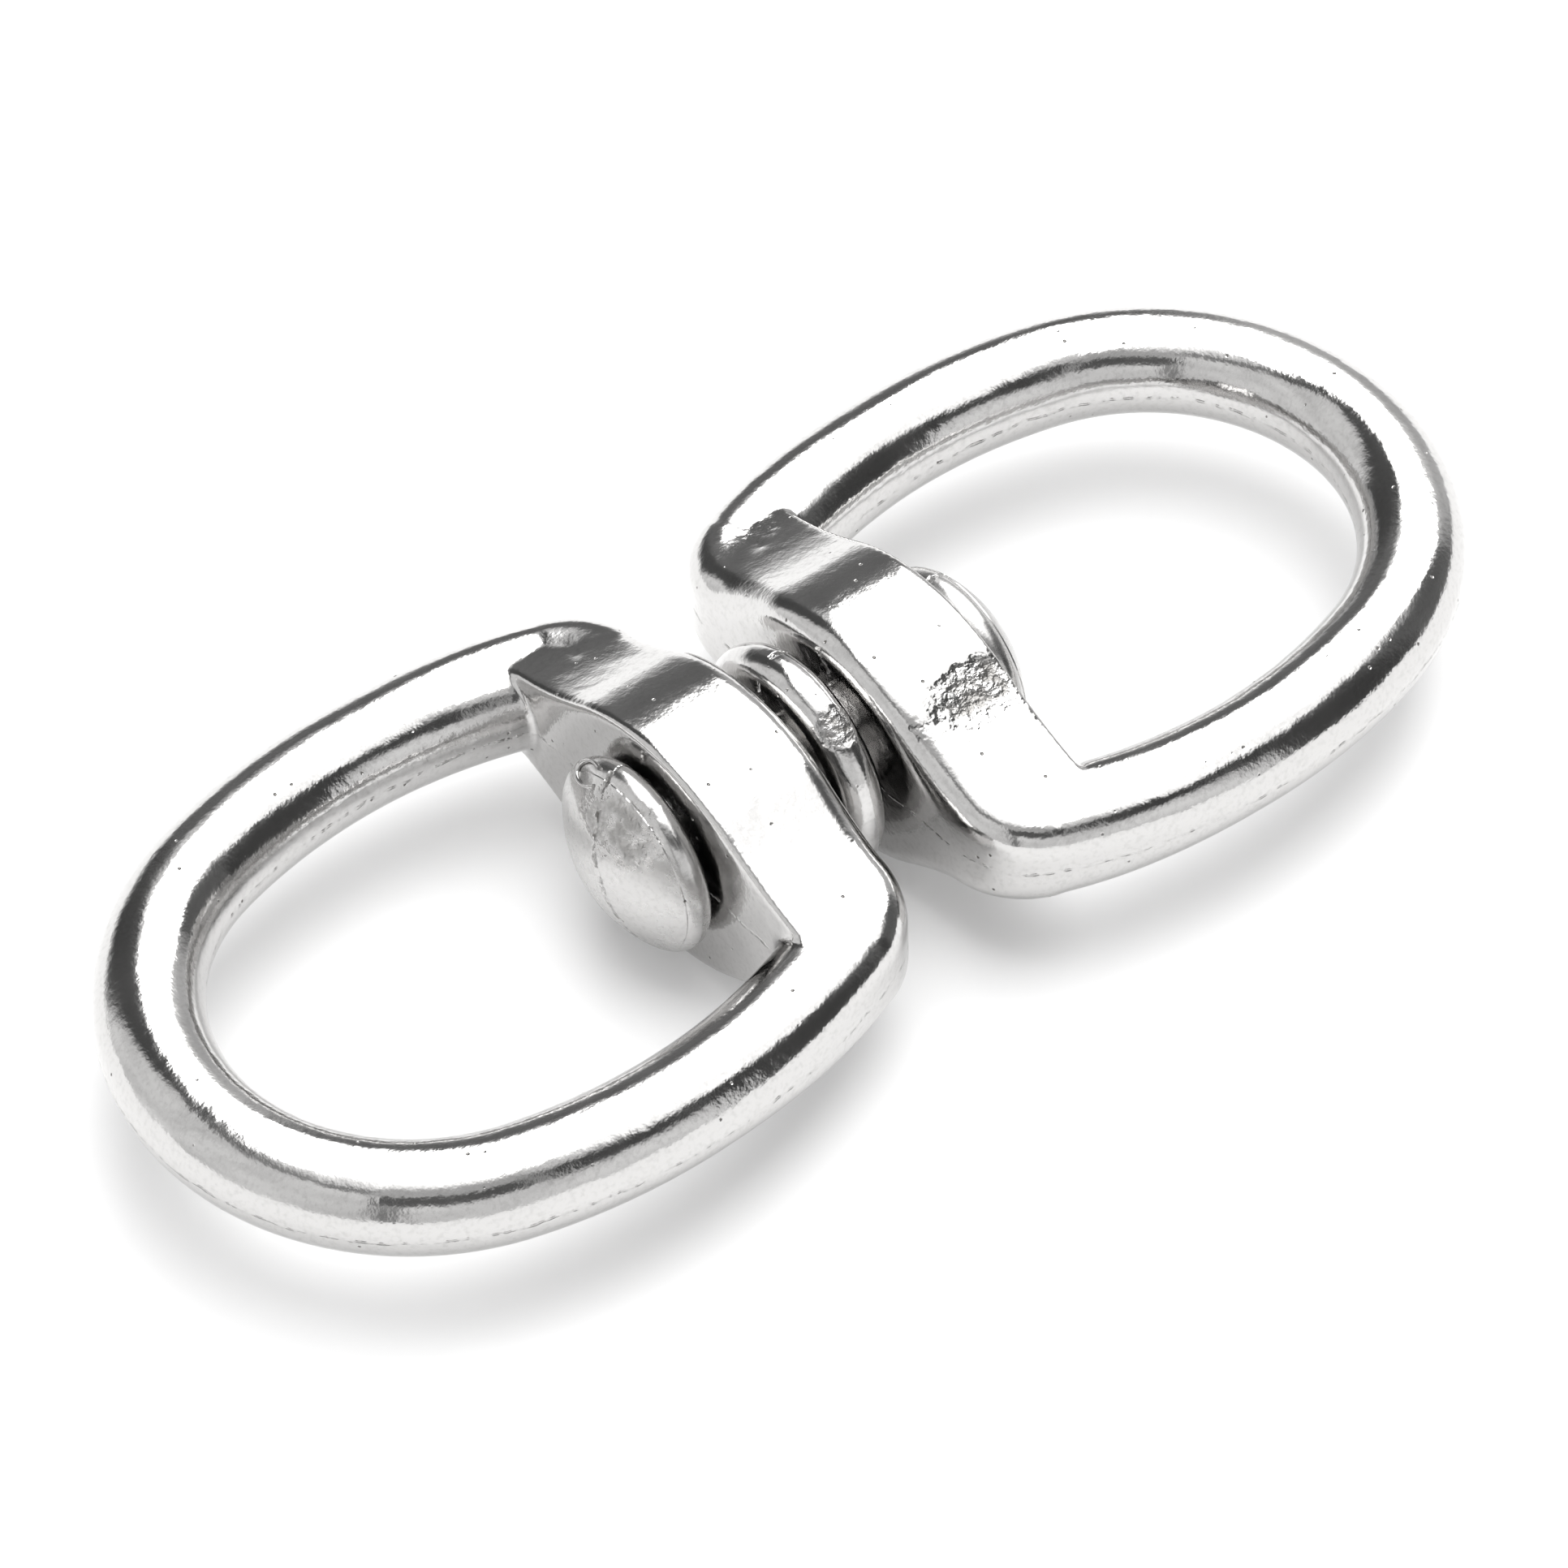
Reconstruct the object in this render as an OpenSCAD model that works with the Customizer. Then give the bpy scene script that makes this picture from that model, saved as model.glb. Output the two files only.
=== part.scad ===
// Double-eye swivel: two die-cast eyes turn on one headed pin.
// Millimetres, +Z up. The pin lies along X and the origin is the middle of the pin.

/* [Overall] */
// Length over both eyes, along the swivel axis
overall_len = 62; // [60:0.5:66]
// Width over one eye
eye_w = 26.8; // [25.8:0.1:28]

/* [Ring of each eye] */
// Diameter of the round section along the sides
wire_d = 4.4; // [3.8:0.1:4.6]
// Diameter of the round section round the crown and the shoulders
bend_d = 4.6; // [4.5:0.1:5]
// Radius of the crown's centreline
crown_r = 10.6; // [10.2:0.1:11]
// Radius of the long sides' centreline
side_r = 24; // [22:0.5:28]
// Radius of the shoulders' centreline, where the sides turn into the bridge
shoulder_r = 1.8; // [1.4:0.1:2.2]

/* [Bridge of each eye] */
// Thickness of the bridge along the swivel axis
bridge_t = 5.4; // [4:0.1:6]
// Height of the bridge at its crest
bridge_h = 10.7; // [10:0.1:12]
// Height of the bridge at its feet, where it runs into the ring
foot_h = 4.3; // [3.6:0.1:4.4]
// Distance of each foot inside the eye's outer width
foot_in = 4.2; // [3.8:0.1:4.5]
// Radius of the arch at its crest
crest_r = 9.2; // [8:0.1:10]
// Width of the flat that runs along the crest
crest_flat = 2.6; // [1:0.2:3.2]
// Rounding of the edge that faces the other eye
outer_round = 1.1; // [0.5:0.1:1.6]
// Rounding of the edge inside the eye
inner_round = 0.3; // [0.2:0.05:0.5]
// Rounding of the bridge's ends, seen from above
end_round = 4.5; // [3:0.1:5]

/* [Swivel pin] */
// Diameter of the shank
shank_d = 4.9; // [4:0.1:6]
// Radial clearance of the shank in each bridge
bore_clear = 0.1; // [0.05:0.01:0.1]
// Diameter of the collar between the bridges
collar_d = 10; // [8:0.1:10.4]
// Thickness of the collar, which has a full round rim
collar_t = 2; // [1.6:0.1:2.6]
// Diameter of each head
head_d = 8.5; // [7.5:0.1:9.5]
// Thickness of each head at its rim
rim_t = 1.4; // [1.2:0.1:2]
// Rounding of the rim
rim_round = 0.5; // [0.3:0.05:0.55]
// Height of each head's dome above its rim
dome_h = 1.4; // [1:0.1:2]

/* [Play] */
// Gap between the collar and each bridge
collar_gap = 0.6; // [0.3:0.05:1]
// Gap between each head and its bridge
head_gap = 0.2; // [0.15:0.05:0.6]

/* [Hidden] */
$fn = 96;

// Ring: crown, side and shoulder arcs run into one another. The slimmer sides reach a few
// tenths of a degree inside the bends, and the shoulders reach inside the bridge.
lap = 0.8;
bury = 35;
// Set-back of the shoulders behind the bridge's outer face, and the hollow at their centres
set_back = 0.15;
core = 0.2;
wire_r = wire_d / 2;
bend_r = bend_d / 2;
face_x = collar_t / 2 + collar_gap;
inner_x = face_x + bridge_t;
crown_x = overall_len / 2 - bend_r - crown_r;
side_y = (eye_w - wire_d) / 2 - side_r;
side_x = crown_x - sqrt(pow(side_r - crown_r, 2) - pow(side_y, 2));
side_from = atan2(-side_y, crown_x - side_x);
shoulder_x = face_x + set_back + bend_r + shoulder_r;
shoulder_y = side_y + sqrt(pow(side_r - shoulder_r, 2) - pow(side_x - shoulder_x, 2));
side_to = atan2(shoulder_y - side_y, shoulder_x - side_x);

// Arch: a crest arc over the axis runs into a hollow arc at each foot. The hollows are set in
// by a small seam all round, and run on by some degrees under the crest and past the plan's
// ends. A heart inside the crest runs on further and joins the upper arch to the lower one.
seam = 0.05;
run_on = 3;
heart_on = 10;
heart_in = 1;
foot_y = eye_w / 2 - foot_in;
crest_z = bridge_h / 2 - sqrt(pow(crest_r, 2) - pow(crest_flat / 2, 2));
arch_drop = crest_z + crest_r - foot_h / 2 - seam;
arch_half = 2 * atan2(arch_drop, foot_y);
crest_reach = crest_r + crest_z / 2;
hollow_r = (pow(arch_drop, 2) + pow(foot_y, 2)) / (2 * arch_drop) - crest_r;
hollow_z = foot_h / 2 + seam + hollow_r;
hollow_reach = 0.9 * foot_h;

// Pin
shank_r = shank_d / 2;
bore_r = shank_r + bore_clear;
head_x = inner_x + head_gap;
head_r = head_d / 2;

// Turns a solid made about Z to lie about X, with its zero angle at +Y
module about_x(y = 0, z = 0) translate([0, y, z]) rotate([90, 0, 90]) children();

// Round bar of radius bar_r, bent to radius r about [x, y] from one angle to another
module bent_bar(x, y, r, bar_r, from, to)
    translate([x, y, 0]) rotate([0, 0, from]) rotate_extrude(angle = to - from)
        intersection() {
            translate([r, 0]) circle(bar_r);
            translate([core, -bar_r]) square([r + bar_r, 2 * bar_r]);
        }

// The ring from shoulder to shoulder
module ring() {
    bent_bar(crown_x, 0, crown_r, bend_r, -side_from, side_from);
    for (side = [0, 1]) mirror([0, side, 0]) {
        bent_bar(side_x, side_y, side_r, wire_r, side_from - lap, side_to + lap);
        bent_bar(shoulder_x, shoulder_y, shoulder_r, bend_r, side_to, 180 + bury);
    }
}

// Section through the bridge's top, as depth below the surface against place along X
module edge_section(depth, inset = 0) {
    from = face_x + inset;
    to = inner_x - inset;
    translate([outer_round, from]) square([depth - outer_round, to - from]);
    translate([inner_round, from + outer_round]) square([outer_round, to - from - outer_round]);
    translate([0, from + outer_round])
        square([outer_round, to - from - outer_round - inner_round]);
    translate([outer_round, from + outer_round]) circle(outer_round);
    translate([inner_round, to - inner_round]) circle(inner_round);
}

// Upper half of the bridge: the crest sector, its heart, and a hollow sector to each foot
module arch() {
    about_x(0, crest_z) {
        rotate([0, 0, 90 - arch_half]) rotate_extrude(angle = 2 * arch_half)
            translate([crest_r, 0]) mirror([1, 0]) edge_section(crest_reach);
        rotate([0, 0, 90 - arch_half - heart_on])
            rotate_extrude(angle = 2 * (arch_half + heart_on))
                translate([-crest_z / 2, face_x + 2 * seam])
                    square([crest_reach - heart_in, bridge_t - 4 * seam]);
    }
    for (side = [0, 1]) mirror([0, side, 0])
        about_x(foot_y, hollow_z) rotate([0, 0, -90 - arch_half - run_on])
            rotate_extrude(angle = arch_half + 2 * run_on)
                translate([hollow_r + seam, 0]) edge_section(hollow_reach, seam);
}

// Outline of the bridge from above, which keeps its ends within the shoulders
module bridge_plan()
    intersection() {
        translate([face_x, -foot_y]) square([bridge_t, 2 * foot_y]);
        union() {
            translate([face_x + end_round, -foot_y]) square([bridge_t, 2 * foot_y]);
            translate([face_x, end_round - foot_y]) square([bridge_t, 2 * (foot_y - end_round)]);
            for (side = [-1, 1])
                translate([face_x + end_round, side * (foot_y - end_round)]) circle(end_round);
        }
    }

// The bridge: both arches, cut to the plan and to the flats of their crests
module bridge()
    intersection() {
        union() {
            arch();
            mirror([0, 0, 1]) arch();
        }
        translate([0, 0, -bridge_h / 2]) linear_extrude(bridge_h) bridge_plan();
    }

// One eye, on the +X side of the pin
module eye()
    difference() {
        union() {
            ring();
            bridge();
        }
        about_x() cylinder(h = inner_x + bridge_t, r = bore_r);
    }

module near_eye() color("silver") rotate([0, 0, 180]) eye();

module far_eye() color("silver") eye();

// Section of a head above its underside: a rim with rounded edges under a dome
module head_section() {
    dome_r = head_r - rim_round;
    ball_r = (pow(dome_r, 2) + pow(dome_h, 2)) / (2 * dome_h);
    square([dome_r, rim_t]);
    translate([0, rim_round]) square([head_r, rim_t - 2 * rim_round]);
    for (h = [rim_round, rim_t - rim_round]) translate([dome_r, h]) circle(rim_round);
    intersection() {
        translate([0, rim_t + dome_h - ball_r]) circle(ball_r);
        translate([0, rim_t - rim_round]) square([dome_r, dome_h + rim_round]);
    }
}

module collar_section() {
    square([(collar_d - collar_t) / 2, collar_t / 2]);
    intersection() {
        translate([(collar_d - collar_t) / 2, 0]) circle(collar_t / 2);
        square(collar_d);
    }
}

// One half of the pin, from the middle of the collar out
module half_pin()
    about_x() {
        cylinder(h = head_x + rim_round, r = shank_r);
        rotate_extrude() collar_section();
        translate([0, 0, head_x]) rotate_extrude() head_section();
    }

module swivel_pin()
    color("silver") {
        half_pin();
        mirror([1, 0, 0]) half_pin();
    }

near_eye();
far_eye();
swivel_pin();
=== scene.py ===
"""Double-eye swivel: two die-cast eyes turn on one headed pin. Bright nickel plate."""

import math

import bmesh
import bpy
from mathutils import Matrix, Vector


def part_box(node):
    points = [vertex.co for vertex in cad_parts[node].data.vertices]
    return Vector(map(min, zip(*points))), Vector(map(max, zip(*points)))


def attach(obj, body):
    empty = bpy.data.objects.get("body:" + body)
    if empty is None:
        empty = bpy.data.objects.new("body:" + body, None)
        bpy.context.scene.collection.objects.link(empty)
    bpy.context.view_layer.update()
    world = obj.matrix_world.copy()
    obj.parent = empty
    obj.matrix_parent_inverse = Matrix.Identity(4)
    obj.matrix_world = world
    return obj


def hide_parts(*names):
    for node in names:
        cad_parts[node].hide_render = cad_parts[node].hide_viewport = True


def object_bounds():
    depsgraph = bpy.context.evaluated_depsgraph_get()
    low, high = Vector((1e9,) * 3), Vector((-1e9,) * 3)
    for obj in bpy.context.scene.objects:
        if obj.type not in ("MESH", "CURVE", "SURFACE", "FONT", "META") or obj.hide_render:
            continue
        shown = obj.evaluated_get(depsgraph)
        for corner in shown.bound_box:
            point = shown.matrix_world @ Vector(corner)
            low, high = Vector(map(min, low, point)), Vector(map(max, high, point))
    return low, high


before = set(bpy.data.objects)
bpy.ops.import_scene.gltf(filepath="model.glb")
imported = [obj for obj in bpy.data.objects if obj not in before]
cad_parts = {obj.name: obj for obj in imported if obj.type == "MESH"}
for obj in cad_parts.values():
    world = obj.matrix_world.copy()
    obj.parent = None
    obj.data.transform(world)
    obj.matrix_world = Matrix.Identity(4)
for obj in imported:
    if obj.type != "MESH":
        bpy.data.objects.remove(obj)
cad_low, cad_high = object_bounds()

MM = 0.001

# ---------------------------------------------------------------- sizes, in millimetres
# The pin lies along X with its middle at the origin, and both rings lie in the XY plane.

eye_low, eye_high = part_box("far_eye")
pin_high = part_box("swivel_pin")[1]

overall_half = eye_high.x / MM
eye_half = eye_high.y / MM
crest_top = eye_high.z / MM
face_x = eye_low.x / MM

# the ring: its round bar, the arcs of its centreline, how far its shoulders stand back from
# the strap's face, and the degrees of its sides over which the strap's section turns round
bar_r = 2.22
crown_r = 10.6
side_r = 24.0
shoulder_r = 1.8
set_back = 0.08
blend = 22

# the strap across the ring: its arch, and how its edges are rounded
bridge_t = 5.4
foot_h = 4.24
foot_y = eye_half - 4.2
crest_r = 9.2
crest_slope = math.radians(30)
foot_slope = math.radians(15)
outer_round = 1.1
soft_round = 1.4
corner_round = 1.9
inner_round = 0.22
sharp_round = 0.1
cast_grid = 0.134

# the pin, its bore in each eye, and how far each dome's edge lies inside the rim, below its
# top and above the bottom of the crease round it
shank_r = 2.45
bore_r = 2.55
collar_r = pin_high.y / MM
collar_t = 2.0
head_r = 4.25
head_gap = 0.2
head_x = face_x + bridge_t + head_gap
rim_t = 1.4
apex_x = pin_high.x / MM
dome_in = 0.3
dome_sink = 0.08
crease = 0.09

# the curl of flash on the near head: its half length, half width and half thickness, where it
# is cut off, and where it stands
flash_long = 0.95
flash_wide = 0.5
flash_r = 0.075
flash_cut = 0.62
flash_place = (-8.52, 2.03, 3.36)

# ---------------------------------------------------------------- small helpers


def clear():
    """Leaves edit mode with nothing selected."""
    if bpy.context.object and bpy.context.object.mode != "OBJECT":
        bpy.ops.object.mode_set(mode="OBJECT")
    bpy.ops.object.select_all(action="DESELECT")


def work_on(*objects):
    """Selects these objects alone, with the first one active."""
    clear()
    for o in objects:
        o.select_set(True)
    bpy.context.view_layer.objects.active = objects[0]


def named(name):
    """Names the object that was just added, and its mesh."""
    o = bpy.context.object
    o.name = name
    o.data.name = name
    return o


def pick(test, kind="verts"):
    """In edit mode, selects the vertices, edges or faces that pass the test, and nothing else."""
    bpy.ops.mesh.select_mode(type={"verts": "VERT", "edges": "EDGE", "faces": "FACE"}[kind])
    bpy.ops.mesh.select_all(action="DESELECT")
    mesh = bmesh.from_edit_mesh(bpy.context.object.data)
    for part in getattr(mesh, kind):
        if test(part):
            part.select_set(True)
    mesh.select_flush_mode()
    bmesh.update_edit_mesh(bpy.context.object.data)


def turn(degrees, centre, axis, step):
    """Spins what is selected about an axis through centre, counter-clockwise seen from its tip."""
    bpy.ops.mesh.spin(
        steps=max(1, round(abs(degrees) / step)),
        angle=-math.radians(degrees),
        center=Vector(centre) * MM,
        axis=axis,
        use_auto_merge=False,
    )


def apply_modifier(o, kind, **settings):
    """Gives the object one modifier with its settings, and applies it."""
    work_on(o)
    m = o.modifiers.new(kind.title(), kind)
    for key, value in settings.items():
        setattr(m, key, value)
    bpy.ops.object.modifier_apply(modifier=m.name)


def join(first, *others):
    """Joins the others into the first object."""
    work_on(first, *others)
    bpy.ops.object.join()
    return first


# ---------------------------------------------------------------- the ring of an eye

side_y = eye_half - bar_r - side_r
crown_x = overall_half - bar_r - crown_r
side_x = crown_x - math.sqrt((side_r - crown_r) ** 2 - side_y**2)
side_from = math.degrees(math.atan2(-side_y, crown_x - side_x))
shoulder_x = face_x + set_back + bar_r + shoulder_r
shoulder_y = side_y + math.sqrt((side_r - shoulder_r) ** 2 - (side_x - shoulder_x) ** 2)
side_to = math.degrees(math.atan2(shoulder_y - side_y, shoulder_x - side_x))


def make_ring():
    """Round bar, swept from the crown along one side, then mirrored."""
    clear()
    bpy.ops.mesh.primitive_circle_add(
        vertices=96,
        radius=bar_r * MM,
        location=((crown_x + crown_r) * MM, 0, 0),
        rotation=(math.pi / 2, 0, 0),
    )
    ring = named("ring")
    bpy.ops.object.transform_apply(location=True, rotation=True, scale=True)
    bpy.ops.object.mode_set(mode="EDIT")
    bpy.ops.mesh.select_all(action="SELECT")
    turn(side_from, (crown_x, 0, 0), (0, 0, 1), 1.5)
    turn(side_to - blend + 1 - side_from, (side_x, side_y, 0), (0, 0, 1), 1)
    bpy.ops.mesh.edge_face_add()
    bpy.ops.object.mode_set(mode="OBJECT")
    apply_modifier(
        ring, "MIRROR", use_axis=(False, True, False), use_mirror_merge=True, merge_threshold=1e-6
    )
    return ring


# ---------------------------------------------------------------- the bridge of an eye

crest_z = crest_top - crest_r
crest_end = crest_r * math.sin(crest_slope)
hollow_r = (foot_y - crest_end) / (math.sin(crest_slope) - math.sin(foot_slope))
hollow_y = foot_y + hollow_r * math.sin(foot_slope)
hollow_z = crest_z + (crest_r + hollow_r) * math.cos(crest_slope)


def arch_height(y):
    """Height of the strap's top above the middle plane, at a distance y from the pin's axis."""
    y = abs(y)
    if y < crest_end:
        return crest_z + math.sqrt(crest_r**2 - y**2)
    return max(foot_h / 2, hollow_z - math.sqrt(hollow_r**2 - (hollow_y - y) ** 2))


def arch_slope(y):
    """Slope of the strap's top in degrees."""
    step = 0.05
    rise = arch_height(y + step) - arch_height(y - step)
    return math.degrees(math.atan2(rise, 2 * step))


def section(place, facing, outer, inner, height, outer_edge, inner_edge, slope=0):
    """One upright section of the bar, as a loop of edges.

    It stands at place and reaches outer and inner across the bar, and height up and down. Its
    edges are rounded by outer_edge and inner_edge, measured square to a top that slopes.
    """
    clear()
    squash = math.cos(math.radians(slope))
    bpy.ops.mesh.primitive_plane_add(size=MM, rotation=(math.pi / 2, 0, 0))
    loop = named("section")
    bpy.ops.object.mode_set(mode="EDIT")
    bpy.ops.transform.resize(value=(outer + inner, 1, 2 * height * squash), center_override=(0, 0, 0))
    for side, edge in ((1, outer_edge), (-1, inner_edge)):
        pick(lambda v: v.co.x * side > 0.4 * (outer + inner) * MM)
        bpy.ops.mesh.bevel(offset=edge * MM, segments=20, affect="VERTICES", clamp_overlap=False)
    bpy.ops.mesh.select_all(action="SELECT")
    bpy.ops.mesh.delete(type="ONLY_FACE")
    bpy.ops.mesh.select_all(action="SELECT")
    bpy.ops.transform.resize(value=(1, 1, 1 / squash), center_override=(0, 0, 0))
    bpy.ops.transform.translate(value=((outer - inner) / 2 * MM, 0, 0))
    bpy.ops.object.mode_set(mode="OBJECT")
    loop.rotation_euler.z = math.radians(facing)
    loop.location = (place[0] * MM, place[1] * MM, 0)
    bpy.ops.object.transform_apply(location=True, rotation=True, scale=True)
    return loop


def loft(name, loops):
    """Bridges the loops in turn, closes both ends, and adds the half on the pin's other side."""
    shape = join(*loops)
    shape.name = shape.data.name = name
    bpy.ops.object.mode_set(mode="EDIT")
    bpy.ops.mesh.select_all(action="SELECT")
    bpy.ops.mesh.bridge_edge_loops()
    bpy.ops.mesh.select_all(action="SELECT")
    bpy.ops.mesh.fill_holes(sides=0)
    bpy.ops.mesh.normals_make_consistent(inside=False)
    bpy.ops.mesh.duplicate()
    bpy.ops.transform.resize(value=(1, -1, 1), center_override=(0, 0, 0))
    bpy.ops.mesh.flip_normals()
    bpy.ops.object.mode_set(mode="OBJECT")
    return shape


def ease(t):
    """Runs from 0 to 1 with a level start and end."""
    t = min(1, max(0, t))
    return t * t * (3 - 2 * t)


def make_strap():
    """The arched strap and its shoulders: sections from the crest down, round and into the ring."""
    spine_x = shoulder_x - shoulder_r
    inner = face_x + bridge_t - spine_x
    past_middle = 0.4
    soften_from = 3.2
    every = 0.25
    loops = []
    y = -past_middle
    while y < shoulder_y - 0.1:
        part = ease((y - soften_from) / (shoulder_y - soften_from))
        outer = spine_x - face_x - set_back * part
        edge = outer_round + (soft_round - outer_round) * part
        height, slope = arch_height(y), arch_slope(y)
        loops.append(section((spine_x, y), 180, outer, inner, height, edge, inner_round, slope))
        y += every
    steps = 20
    for i in range(steps + 1):
        facing = 180 + (side_to - 180) * i / steps
        a = math.radians(facing)
        place = (shoulder_x + shoulder_r * math.cos(a), shoulder_y + shoulder_r * math.sin(a))
        height = arch_height(place[1])
        loops.append(section(place, facing, bar_r, shoulder_r - 0.01, height, soft_round, sharp_round))
    strap = loft("strap", loops)

    # the foot: the strap's inner part alone, which runs on into the side of the ring
    foot_from, foot_to = shoulder_y - 0.5, foot_y + 0.3
    foot_outer = -0.9
    steps = 12
    loops = []
    for i in range(steps + 1):
        y = foot_from + (foot_to - foot_from) * i / steps
        height = arch_height(y)
        loops.append(section((spine_x, y), 180, foot_outer, inner, height, sharp_round, inner_round))
    foot = loft("foot", loops)

    # the neck: where the strap's section turns into the round bar of the ring
    loops = []
    for i in range(blend + 1):
        facing = side_to - i
        a = math.radians(facing)
        place = (side_x + side_r * math.cos(a), side_y + side_r * math.sin(a))
        part = ease(i / blend)
        height = foot_h / 2 + (bar_r - foot_h / 2) * part
        outer_edge = soft_round + (bar_r - soft_round) * part - 0.001
        inner_edge = corner_round + (bar_r - corner_round) * part - 0.001
        loops.append(section(place, facing, bar_r, bar_r, height, outer_edge, inner_edge))
    return join(strap, foot, loft("neck", loops))


def make_eye():
    """Melts the strap and the ring into one casting with soft inner corners, and drills it."""
    eye = join(make_strap(), make_ring())
    eye.name = eye.data.name = "eye_casting"
    apply_modifier(eye, "REMESH", mode="VOXEL", voxel_size=cast_grid * MM)
    apply_modifier(eye, "SMOOTH", factor=0.5, iterations=12)
    clear()
    bpy.ops.mesh.primitive_cylinder_add(
        vertices=96,
        radius=bore_r * MM,
        depth=3 * bridge_t * MM,
        location=((face_x + bridge_t / 2) * MM, 0, 0),
        rotation=(0, math.pi / 2, 0),
    )
    drill = named("drill")
    apply_modifier(eye, "BOOLEAN", operation="DIFFERENCE", object=drill, solver="MANIFOLD")
    bpy.data.objects.remove(drill)
    work_on(eye)
    bpy.ops.object.shade_smooth_by_angle(angle=math.radians(50))
    return eye


# ---------------------------------------------------------------- the pin


def step_by(x, r):
    """Extrudes the selected point of the profile by x along the pin and r away from it."""
    bpy.ops.mesh.extrude_region_move(TRANSFORM_OT_translate={"value": (x * MM, 0, r * MM)})


def make_pin():
    """The pin's profile, drawn from the top of one head to the middle of the collar, then turned."""
    dome_base = head_r - dome_in
    dome_x = head_x + rim_t - dome_sink
    dome_h = apex_x - dome_x
    dome_r = (dome_base**2 + dome_h**2) / (2 * dome_h)
    dome_arc = math.degrees(math.asin(dome_base / dome_r))
    bead = rim_t / 2
    clear()
    bpy.ops.mesh.primitive_plane_add(size=MM, location=(apex_x * MM, 0, 0))
    pin = named("pin")
    bpy.ops.object.transform_apply(location=True, rotation=True, scale=True)
    bpy.ops.object.mode_set(mode="EDIT")
    bpy.ops.mesh.select_all(action="SELECT")
    bpy.ops.mesh.merge(type="CENTER")
    bpy.ops.mesh.select_all(action="SELECT")
    turn(-dome_arc, (apex_x - dome_r, 0, 0), (0, 1, 0), 1)
    # the bead of the rim: from the crease under the dome, round to the head's underside
    bead_z = head_r - bead
    bead_x = head_x + bead
    start = math.degrees(math.atan2(dome_base - bead_z, dome_x - bead_x))
    from_x = bead_x + bead * math.cos(math.radians(start))
    from_z = bead_z + bead * math.sin(math.radians(start))
    step_by(-crease, crease / 6)
    step_by(from_x - dome_x + crease, from_z - dome_base - crease / 6)
    turn(start - 180, (bead_x, 0, bead_z), (0, 1, 0), 6)
    step_by(0, shank_r - bead_z)
    step_by(collar_t / 2 - head_x, 0)
    step_by(0, collar_r - collar_t / 2 - shank_r)
    turn(-90, (0, 0, collar_r - collar_t / 2), (0, 1, 0), 5)
    bpy.ops.object.mode_set(mode="OBJECT")
    apply_modifier(
        pin, "MIRROR", use_axis=(True, False, False), use_mirror_merge=True, merge_threshold=1e-6
    )
    work_on(pin)
    bpy.ops.object.mode_set(mode="EDIT")
    bpy.ops.mesh.select_all(action="SELECT")
    turn(360, (0, 0, 0), (1, 0, 0), 2.5)
    bpy.ops.mesh.select_all(action="SELECT")
    bpy.ops.mesh.remove_doubles(threshold=1e-6)
    bpy.ops.mesh.normals_make_consistent(inside=False)
    bpy.ops.object.mode_set(mode="OBJECT")
    bpy.ops.object.shade_smooth_by_angle(angle=math.radians(25))
    return pin


def make_flash():
    """The curl of flash that the die left on the rim of the near head."""
    clear()
    bpy.ops.mesh.primitive_torus_add(
        major_segments=64,
        minor_segments=16,
        major_radius=flash_wide * MM,
        minor_radius=flash_r * MM,
    )
    flash = named("flash")
    bpy.ops.object.mode_set(mode="EDIT")
    bpy.ops.mesh.select_all(action="SELECT")
    bpy.ops.transform.resize(value=(flash_long / flash_wide, 1, 1), center_override=(0, 0, 0))
    bpy.ops.mesh.bisect(
        plane_co=(-flash_cut * MM, 0, 0),
        plane_no=(1, 0, 0),
        clear_inner=True,
        use_fill=True,
        threshold=1e-7,
    )
    bpy.ops.mesh.select_all(action="SELECT")
    bpy.ops.mesh.normals_make_consistent(inside=False)
    bpy.ops.object.mode_set(mode="OBJECT")
    along = Vector((0.05, 0.888, -0.457)).normalized()
    across = Vector((-0.656, -0.26, -0.708))
    out = along.cross(across).normalized()
    across = out.cross(along)
    turned = Matrix((along, across, out)).transposed().to_4x4()
    turned.translation = Vector(flash_place) * MM
    flash.matrix_world = turned
    bpy.ops.object.transform_apply(location=True, rotation=True, scale=True)
    bpy.ops.object.shade_smooth_by_angle(angle=math.radians(50))
    return flash


# ---------------------------------------------------------------- finish
# Bright nickel plate, electroplated over zinc die castings that were tumbled but not polished.
# The plate is a warm-grey mirror, a little blurred. It follows the cast skin, so reflections
# have wavy, ragged edges, and pinholes, blisters and cold folds in the zinc show through it.

PLATE = "#C8C7C6"
WORN_PLATE = "#6B6966"
PLATE_REFLECTANCE = 0.57


def sRGB(code):
    """A hex colour as the linear numbers that a shader takes."""
    parts = [int(code[i : i + 2], 16) / 255 for i in (1, 3, 5)]
    return [c / 12.92 if c <= 0.04045 else ((c + 0.055) / 1.055) ** 2.4 for c in parts] + [1]


def add(tree, kind, inputs=None, **settings):
    """Adds a node with its settings. An input is a number, a colour or another node's output."""
    node = tree.nodes.new("ShaderNode" + kind)
    for key, value in settings.items():
        setattr(node, key, value)
    for key, value in (inputs or {}).items():
        if isinstance(value, bpy.types.NodeSocket):
            tree.links.new(value, node.inputs[key])
        else:
            node.inputs[key].default_value = value
    return node


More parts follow.
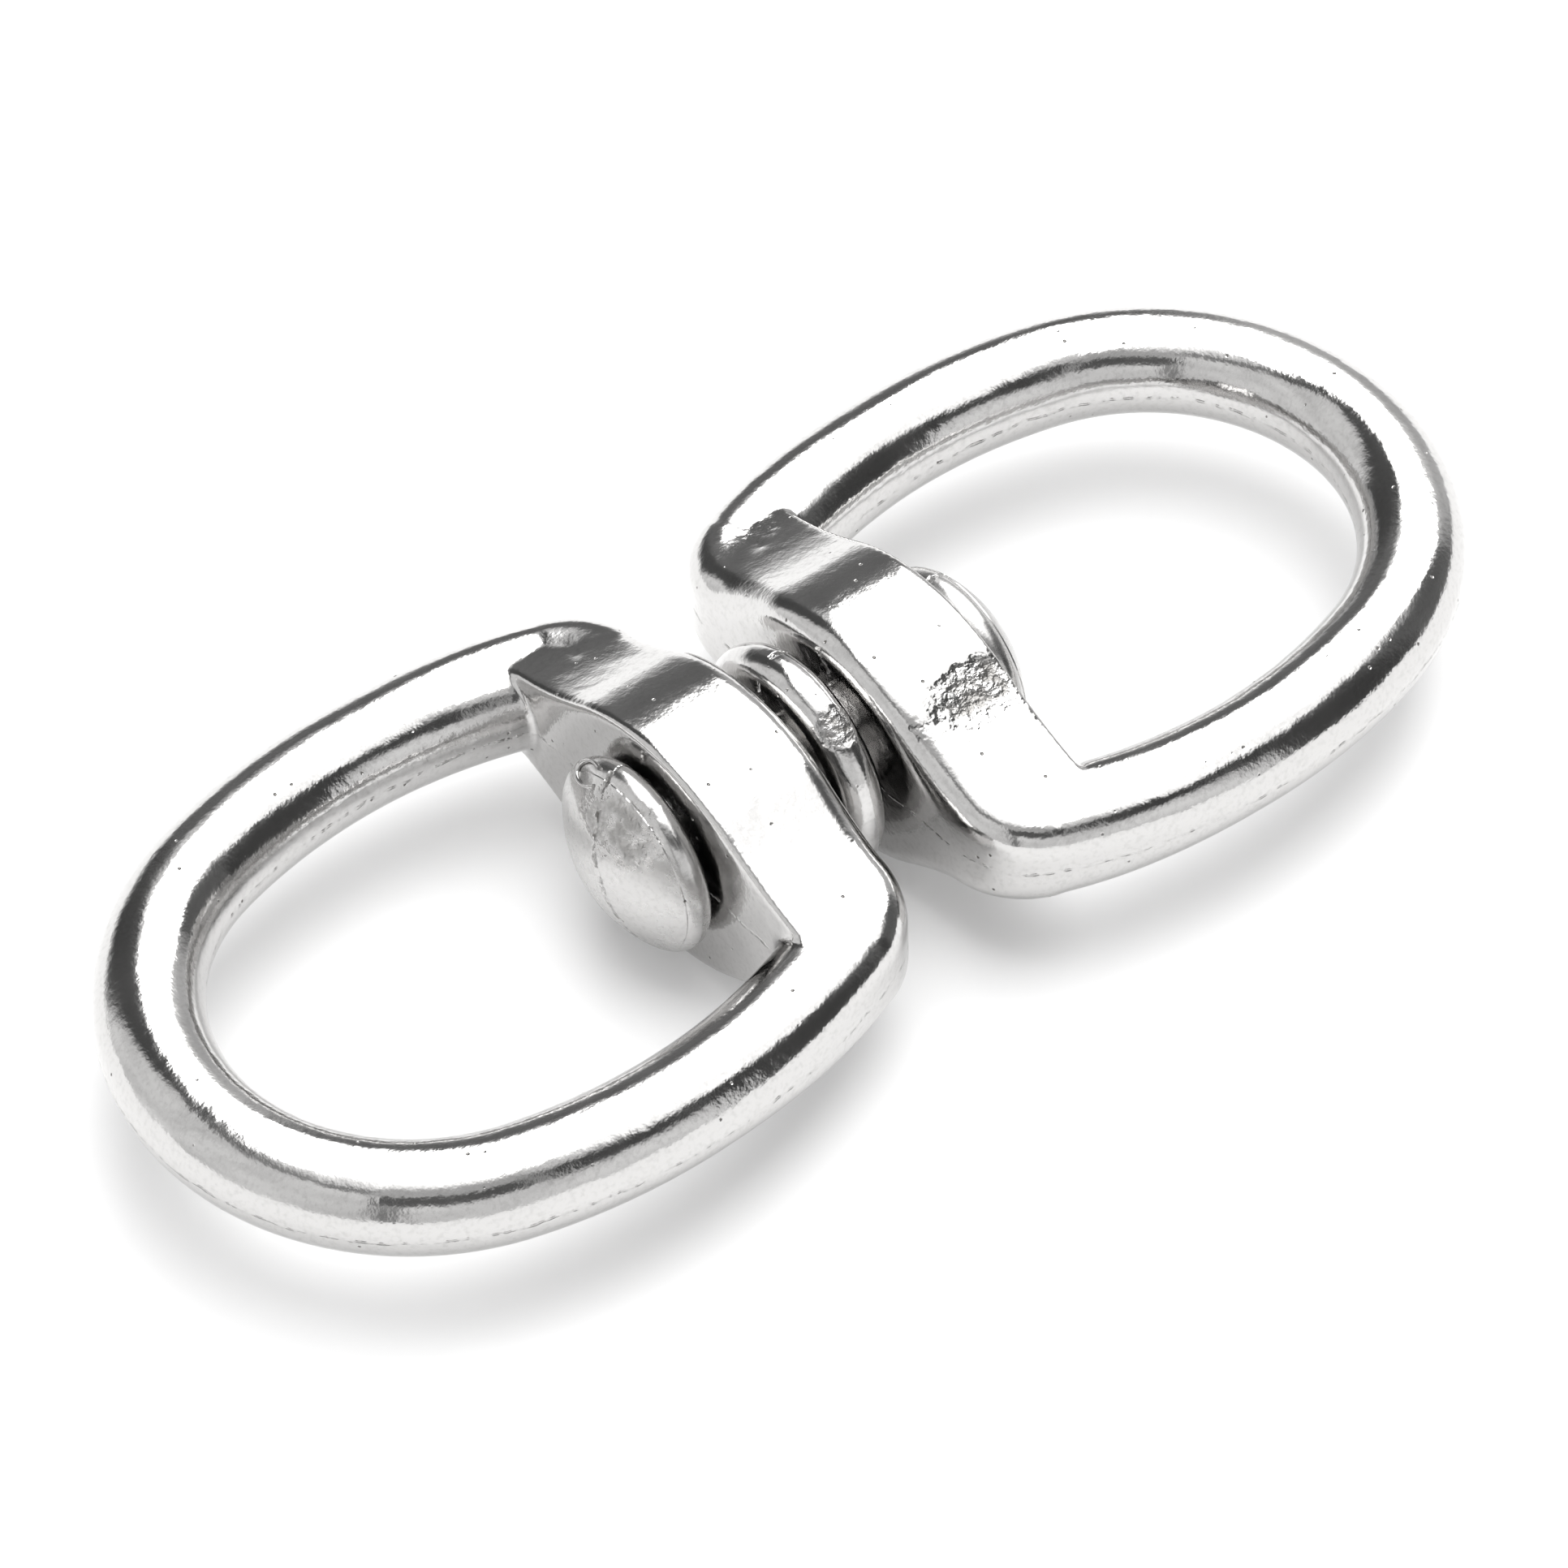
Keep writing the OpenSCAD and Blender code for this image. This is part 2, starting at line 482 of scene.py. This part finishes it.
def orange_peel(tree, mm):
    """The cast skin under the plate: long swells, the peel itself, and a fine grain over both.

    The grain of a real plate is far below 0.1 mm, and is drawn at 0.13 mm so that it shows.
    """
    height = 0
    for size, rise, detail in ((3.5, 0.05, 1), (0.8, 0.024, 3), (0.13, 0.0035, 1)):
        noise = add(tree, "TexNoise", {"Vector": mm, "Scale": 1 / size, "Detail": detail})
        lifted = add(
            tree, "Math", {0: noise.outputs[0], 1: rise, 2: height}, operation="MULTIPLY_ADD"
        )
        height = lifted.outputs[0]
    return height


def pinholes(tree, mm, share):
    """Blisters and pinholes, one to a cell of 0.9 mm, in this share of the cells."""
    cells = add(tree, "TexVoronoi", {"Vector": mm, "Scale": 1 / 0.9})
    chance = add(tree, "SeparateColor", {0: cells.outputs["Color"]})
    kept = add(tree, "Math", {0: chance.outputs["Red"], 1: share}, operation="LESS_THAN")
    hole = add(
        tree,
        "MapRange",
        {"Value": cells.outputs["Distance"], "From Min": 0.1, "From Max": 0.03},
        interpolation_type="SMOOTHSTEP",
    )
    return add(tree, "Math", {0: hole.outputs[0], 1: kept.outputs[0]}, operation="MULTIPLY").outputs[0]


def parting_line(tree, mm, across, offset, width):
    """Where the halves of the die met: a thin broken line, square to across, round the casting."""
    stray = add(tree, "TexNoise", {"Vector": mm, "Scale": 1 / 1.5, "Detail": 3})
    place = add(tree, "VectorMath", {0: mm, 1: across}, operation="DOT_PRODUCT")
    shift = add(
        tree, "Math", {0: stray.outputs[0], 1: 0.5, 2: offset - 0.25}, operation="MULTIPLY_ADD"
    )
    height = add(tree, "Math", {0: place.outputs["Value"], 1: shift.outputs[0]}, operation="ADD")
    away = add(tree, "Math", {0: height.outputs[0]}, operation="ABSOLUTE")
    line = add(
        tree,
        "MapRange",
        {"Value": away.outputs[0], "From Min": width, "From Max": width / 5},
        interpolation_type="SMOOTHSTEP",
    )
    gaps = add(tree, "TexNoise", {"Vector": mm, "Scale": 1 / 0.5, "Detail": 2})
    broken = add(tree, "MapRange", {"Value": gaps.outputs[0], "From Min": 0.45, "From Max": 0.68})
    return add(tree, "Math", {0: line.outputs[0], 1: broken.outputs[0]}, operation="MULTIPLY").outputs[0]


def patch(tree, mm, centre, reach):
    """1 inside an uneven patch round centre, falling to 0 outside its reach."""
    away = add(tree, "VectorMath", {0: mm, 1: centre}, operation="SUBTRACT")
    away = add(tree, "VectorMath", {0: away.outputs[0], 1: reach}, operation="DIVIDE")
    away = add(tree, "VectorMath", {0: away.outputs[0]}, operation="LENGTH")
    edge = add(tree, "TexNoise", {"Vector": mm, "Scale": 1 / 0.9, "Detail": 3})
    ragged = add(
        tree, "Math", {0: edge.outputs[0], 1: 1.2, 2: away.outputs["Value"]}, operation="MULTIPLY_ADD"
    )
    inside = add(
        tree,
        "MapRange",
        {"Value": ragged.outputs[0], "From Min": 1.9, "From Max": 1.05},
        interpolation_type="SMOOTHSTEP",
    )
    return inside.outputs[0]


def plate(name, roughness, share, line, patches):
    """Bright nickel plate on zinc, with its pinholes, parting line and rough patches.

    Roughness is that of the ends, then that of the middle, which rubs itself smooth. The line
    is the direction square to it, its offset, width, rise and darkness. A patch is its centre,
    its reach, the size and rise of its wrinkles, and how dull it is. All are in millimetres.
    """
    mat = bpy.data.materials.new(name)
    mat.use_nodes = True
    tree = mat.node_tree
    shader = tree.nodes["Principled BSDF"]
    shader.inputs["Metallic"].default_value = 1
    place = add(tree, "TexCoord")
    mm = add(
        tree, "VectorMath", {0: place.outputs["Object"], "Scale": 1 / MM}, operation="SCALE"
    ).outputs[0]
    height = orange_peel(tree, mm)
    holes = pinholes(tree, mm, share)
    height = add(tree, "Math", {0: holes, 1: -0.03, 2: height}, operation="MULTIPLY_ADD").outputs[0]
    worn = holes
    across, offset, width, rise, mark = line
    ridge = parting_line(tree, mm, across, offset, width)
    height = add(tree, "Math", {0: ridge, 1: rise, 2: height}, operation="MULTIPLY_ADD").outputs[0]
    faint = add(tree, "Math", {0: ridge, 1: mark}, operation="MULTIPLY").outputs[0]
    worn = add(tree, "Math", {0: worn, 1: faint}, operation="MAXIMUM").outputs[0]
    dull = None
    for centre, reach, grain, rise, dullness in patches:
        spot = patch(tree, mm, centre, reach)
        wrinkles = add(tree, "TexNoise", {"Vector": mm, "Scale": 1 / grain, "Detail": 4})
        lift = add(tree, "Math", {0: wrinkles.outputs[0], 1: spot}, operation="MULTIPLY")
        height = add(
            tree, "Math", {0: lift.outputs[0], 1: -rise, 2: height}, operation="MULTIPLY_ADD"
        ).outputs[0]
        blotches = add(
            tree, "MapRange", {"Value": wrinkles.outputs[0], "From Min": 0.38, "From Max": 0.58}
        )
        blotches.inputs["To Max"].default_value = dullness
        faded = add(tree, "Math", {0: spot, 1: blotches.outputs[0]}, operation="MULTIPLY")
        faded = faded.outputs[0]
        if dull:
            faded = add(tree, "Math", {0: dull, 1: faded}, operation="MAXIMUM").outputs[0]
        dull = faded
    if dull:
        worn = add(tree, "Math", {0: worn, 1: dull}, operation="MAXIMUM").outputs[0]
    speckle = add(tree, "TexNoise", {"Vector": mm, "Scale": 1 / 0.22, "Detail": 3})
    speckle = add(
        tree, "MapRange", {"Value": speckle.outputs[0], "From Min": 0.48, "From Max": 0.75}
    )
    speckle = add(tree, "Math", {0: speckle.outputs[0], 1: 0.16}, operation="MULTIPLY")
    worn = add(tree, "Math", {0: worn, 1: speckle.outputs[0]}, operation="MAXIMUM").outputs[0]
    colour = add(
        tree,
        "Mix",
        {"Factor": worn, "A": sRGB(PLATE), "B": sRGB(WORN_PLATE)},
        data_type="RGBA",
    )
    tree.links.new(colour.outputs["Result"], shader.inputs["Base Color"])
    cloud = add(tree, "TexNoise", {"Vector": mm, "Scale": 1 / 2.2, "Detail": 2})
    gloss = add(
        tree,
        "MapRange",
        {"Value": cloud.outputs[0], "From Min": 0.3, "From Max": 0.7},
    )
    gloss.inputs["To Min"].default_value = 0.75
    gloss.inputs["To Max"].default_value = 1.25
    along = add(tree, "SeparateXYZ", {0: mm})
    along = add(tree, "Math", {0: along.outputs["X"]}, operation="ABSOLUTE")
    matt = add(tree, "MapRange", {"Value": along.outputs[0], "From Min": 1.0, "From Max": 7.0})
    matt.inputs["To Min"].default_value = roughness[1]
    matt.inputs["To Max"].default_value = roughness[0]
    gloss = add(tree, "Math", {0: gloss.outputs[0], 1: matt.outputs[0]}, operation="MULTIPLY")
    rough = add(tree, "Math", {0: worn, 1: 0.3, 2: gloss.outputs[0]}, operation="MULTIPLY_ADD")
    tree.links.new(rough.outputs[0], shader.inputs["Roughness"])
    bump = add(tree, "Bump", {"Height": height, "Distance": MM, "Strength": 1})
    tree.links.new(bump.outputs[0], shader.inputs["Normal"])
    return mat


# ---------------------------------------------------------------- pieces on their bodies

EYE_LINE = ((0, 0, 1), 0, 0.1, 0.04, 0.4)
far_plate = plate(
    "far_eye_nickel_plate",
    (0.12, 0.12),
    0.5,
    EYE_LINE,
    (
        ((5.5, -4.8, 3.9), (2.3, 1.1, 2.0), 0.6, 0.34, 0.8),
        ((5.4, 9.0, 2.1), (1.0, 0.8, 2.0), 0.6, 0.08, 0.1),
    ),
)
near_plate = plate(
    "near_eye_nickel_plate",
    (0.12, 0.12),
    0.5,
    EYE_LINE,
    (((-5.2, -5.2, 3.7), (1.6, 1.2, 2.0), 1.2, 0.04, 0.03),),
)
pin_plate = plate(
    "pin_nickel_plate",
    (0.25, 0.13),
    0.7,
    ((0, 1, -0.35), 0.45, 0.2, -0.16, 0.95),
    (
        ((-9.3, -0.7, 2.9), (1.6, 1.8, 1.2), 0.6, 0.3, 0.5),
        ((-0.1, -2.8, 4.0), (0.75, 0.75, 0.65), 0.4, 0.17, 0.85),
    ),
)

far = make_eye()
far.name = far.data.name = "far_eye_casting"
far.data.materials.clear()
far.data.materials.append(far_plate)
near = far.copy()
near.data = far.data.copy()
near.name = near.data.name = "near_eye_casting"
bpy.context.scene.collection.objects.link(near)
near.data.transform(Matrix.Rotation(math.pi, 4, "Z"))
near.data.materials[0] = near_plate
pin = join(make_pin(), make_flash())
pin.data.materials.append(pin_plate)
for piece, body in ((far, "far_eye"), (near, "near_eye"), (pin, "swivel_pin")):
    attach(piece, body)
    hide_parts(body)

# ---------------------------------------------------------------- studio


def toward(azimuth, elevation):
    """Unit vector to a place in the studio. Azimuth 0 is -Y and 90 is +X."""
    a, e = math.radians(azimuth), math.radians(elevation)
    return Vector((math.sin(a) * math.cos(e), -math.cos(a) * math.cos(e), math.sin(e)))


def make_floor():
    """A sheet of white background paper: quite matt, and lit through a little from behind."""
    clear()
    bpy.ops.mesh.primitive_plane_add(size=4, location=(0, 0, cad_low.z))
    floor = named("floor")
    bpy.ops.object.transform_apply(location=True, rotation=True, scale=True)
    mat = bpy.data.materials.new("white_sweep")
    mat.use_nodes = True
    shader = mat.node_tree.nodes["Principled BSDF"]
    shader.inputs["Base Color"].default_value = sRGB("#E2E2E2")
    shader.inputs["Roughness"].default_value = 0.9
    shader.inputs["Specular IOR Level"].default_value = 0.0
    shader.inputs["Emission Color"].default_value = (1, 1, 1, 1)
    shader.inputs["Emission Strength"].default_value = 0.16
    floor.data.materials.append(mat)


# What stands round the set, before plain walls: the middle of each piece, half its extent and
# how softly it ends, all in degrees, and how bright it looks in the plate, from 0 to 1.
WALLS = 0.75
SET = (
    ("far wall", 120, 8, 30, 14, 14, 0.63),
    ("ceiling", 0, 90, 180, 21, 13, 1.02),
    ("gap under the ceiling at the left", -92, 57.5, 36, 4, 6, 0.42),
    ("gap under the ceiling behind", -148, 58, 24, 4, 5, 0.3),
    ("grey card over the camera", -30, 58, 30, 7, 8, 0.62),
    ("black cloth over the camera", -29, 42, 26, 9, 6, 0.3),
    ("camera stand", -50, 10, 4, 24, 9, 0.42),
    ("black flag on the right", 43, 22, 17, 24, 5, 0.22),
    ("black flag beside it", 14, 42, 14, 12, 9, 0.22),
    ("shaded corner on the right", 73, 20, 18, 22, 13, 0.33),
    ("black cloth at the back", -177, 32, 19, 28, 10, 0.25),
    ("dark corner behind the softbox", 153, 19, 17, 15, 11, 0.36),
    ("ceiling over the softbox", 92, 71, 70, 25, 5, 1.02),
)


def looks(brightness):
    """The radiance of what looks this bright in the plate."""
    return ((brightness + 0.055) / 1.055) ** 2.4 / PLATE_REFLECTANCE


def make_world():
    """The studio as the metal sees it, and as its light falls on the floor."""
    world = bpy.data.worlds.new("studio")
    bpy.context.scene.world = world
    world.use_nodes = True
    tree = world.node_tree
    background = tree.nodes["Background"]
    place = add(tree, "TexCoord")
    view = add(tree, "SeparateXYZ", {0: place.outputs["Generated"]})
    front = add(tree, "Math", {0: view.outputs["Y"], 1: -1.0}, operation="MULTIPLY")
    azimuth = add(tree, "Math", {0: view.outputs["X"], 1: front.outputs[0]}, operation="ARCTAN2")
    height = add(tree, "Math", {0: view.outputs["Z"]}, operation="ARCSINE")
    angles = add(tree, "CombineXYZ", {"X": azimuth.outputs[0], "Y": height.outputs[0]})
    seen = None
    for name, azimuth, elevation, half_width, half_height, soft, brightness in SET:
        centre = (math.radians(azimuth), math.radians(elevation), 0)
        half = (math.radians(half_width), math.radians(half_height), 0)
        soft = math.radians(soft)
        away = add(tree, "VectorMath", {0: angles.outputs[0], 1: centre}, operation="SUBTRACT")
        away = add(
            tree,
            "VectorMath",
            {0: away.outputs[0], 1: (math.pi, math.pi, 1), 2: (-math.pi, -math.pi, -1)},
            operation="WRAP",
        )
        away = add(tree, "VectorMath", {0: away.outputs[0]}, operation="ABSOLUTE")
        away = add(tree, "VectorMath", {0: away.outputs[0], 1: half}, operation="SUBTRACT")
        away = add(tree, "SeparateXYZ", {0: away.outputs[0]})
        edge = add(
            tree, "Math", {0: away.outputs["X"], 1: away.outputs["Y"]}, operation="MAXIMUM"
        )
        inside = add(
            tree,
            "MapRange",
            {"Value": edge.outputs[0], "From Min": soft / 2, "From Max": -soft / 2},
            interpolation_type="SMOOTHSTEP",
        )
        before = seen.outputs[0] if seen else looks(WALLS)
        seen = add(
            tree,
            "Mix",
            {"Factor": inside.outputs[0], "A": before, "B": looks(brightness)},
            label=name,
        )
    clutter = add(tree, "TexNoise", {"Vector": place.outputs["Generated"], "Scale": 3, "Detail": 4})
    clutter = add(
        tree, "Math", {0: clutter.outputs[0], 1: 0.9, 2: 0.55}, operation="MULTIPLY_ADD"
    )
    seen = add(tree, "VectorMath", {0: seen.outputs[0], 1: clutter.outputs[0]}, operation="MULTIPLY")
    tree.links.new(seen.outputs[0], background.inputs["Color"])


def make_softbox():
    """A softbox a metre off, over the right-hand end of the set, turned to face the swivel."""
    radiance = 3
    light = bpy.data.lights.new("softbox", "AREA")
    light.shape = "RECTANGLE"
    light.size, light.size_y = 1.03, 1.52
    light.energy = radiance * math.pi * light.size * light.size_y
    box = bpy.data.objects.new("softbox", light)
    bpy.context.scene.collection.objects.link(box)
    back = toward(115, 60)
    turned = back.to_track_quat("Z", "Y").to_matrix()
    box.location = back + turned.col[0] * 0.065 + turned.col[1] * 0.14
    box.rotation_euler = turned.to_euler()


def make_camera():
    """Looks along the pin from above the near eye."""
    azimuth, elevation, roll = -36.69, 47.64, math.radians(-2.47)
    aside, above, distance = -0.463, -1.047, 287.1
    back = toward(azimuth, elevation)
    right = Vector((math.cos(math.radians(azimuth)), math.sin(math.radians(azimuth)), 0))
    up = back.cross(right)
    across = right * math.cos(roll) + up * math.sin(roll)
    upright = up * math.cos(roll) - right * math.sin(roll)
    data = bpy.data.cameras.new("camera")
    data.lens = 167.7
    data.sensor_width = 36
    data.clip_start = 0.01
    data.clip_end = 20
    camera = bpy.data.objects.new("camera", data)
    bpy.context.scene.collection.objects.link(camera)
    turned = Matrix((across, upright, back)).transposed().to_4x4()
    turned.translation = (across * aside + upright * above + back * distance) * MM
    camera.matrix_world = turned
    bpy.context.scene.camera = camera


make_floor()
make_world()
make_softbox()
make_camera()
bpy.context.scene.view_settings.view_transform = "Standard"
